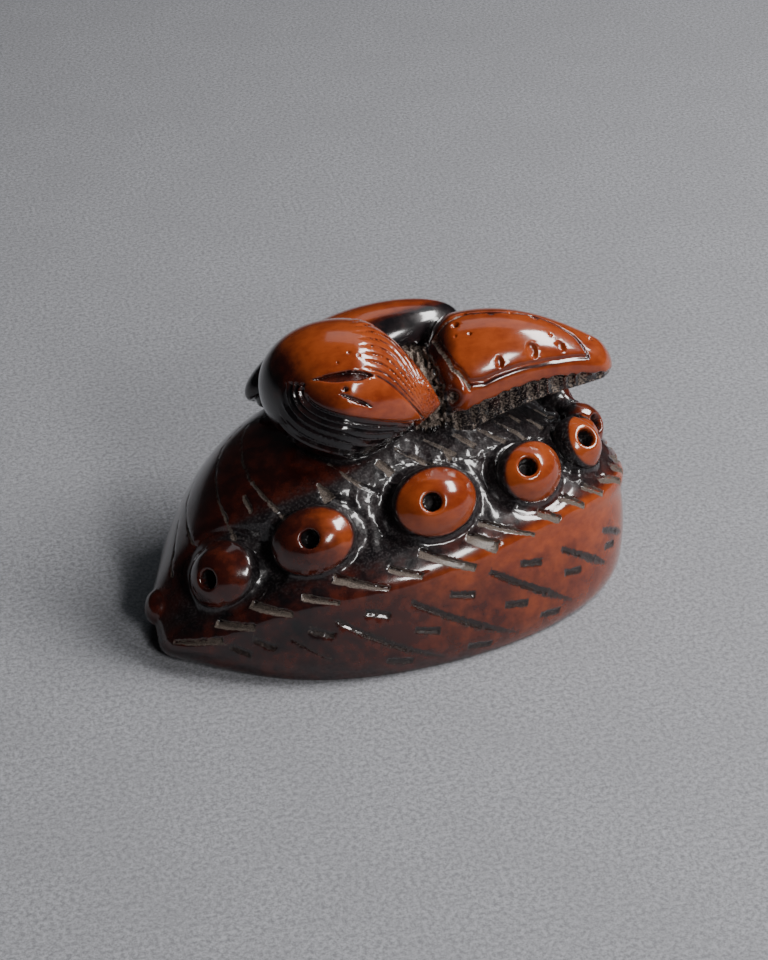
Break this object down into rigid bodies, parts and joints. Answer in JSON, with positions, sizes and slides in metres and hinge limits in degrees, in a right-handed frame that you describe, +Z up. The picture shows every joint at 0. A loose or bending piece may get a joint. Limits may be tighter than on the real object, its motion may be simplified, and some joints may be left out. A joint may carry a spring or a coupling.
{
  "type": "netsuke",
  "caption": "Boxwood netsuke of an abalone shell with smaller shells on its back, carved in one piece, with a flat underside and a cord tunnel",
  "frame": {"origin": "middle of the flat underside's height, straight below the middle of the whole carving", "axes": "+Z up, +X along the body towards the end with the pointed shell, -Y towards the side with the row of pores"},
  "size_m": [0.0448, 0.028, 0.0277],
  "materials": {
    "boxwood": "hand-polished boxwood, orange-brown on the raised wood and stained near-black in the cuts"
  },
  "bodies": {
    "root": {"netsuke": "boxwood"}
  },
  "joints": []
}
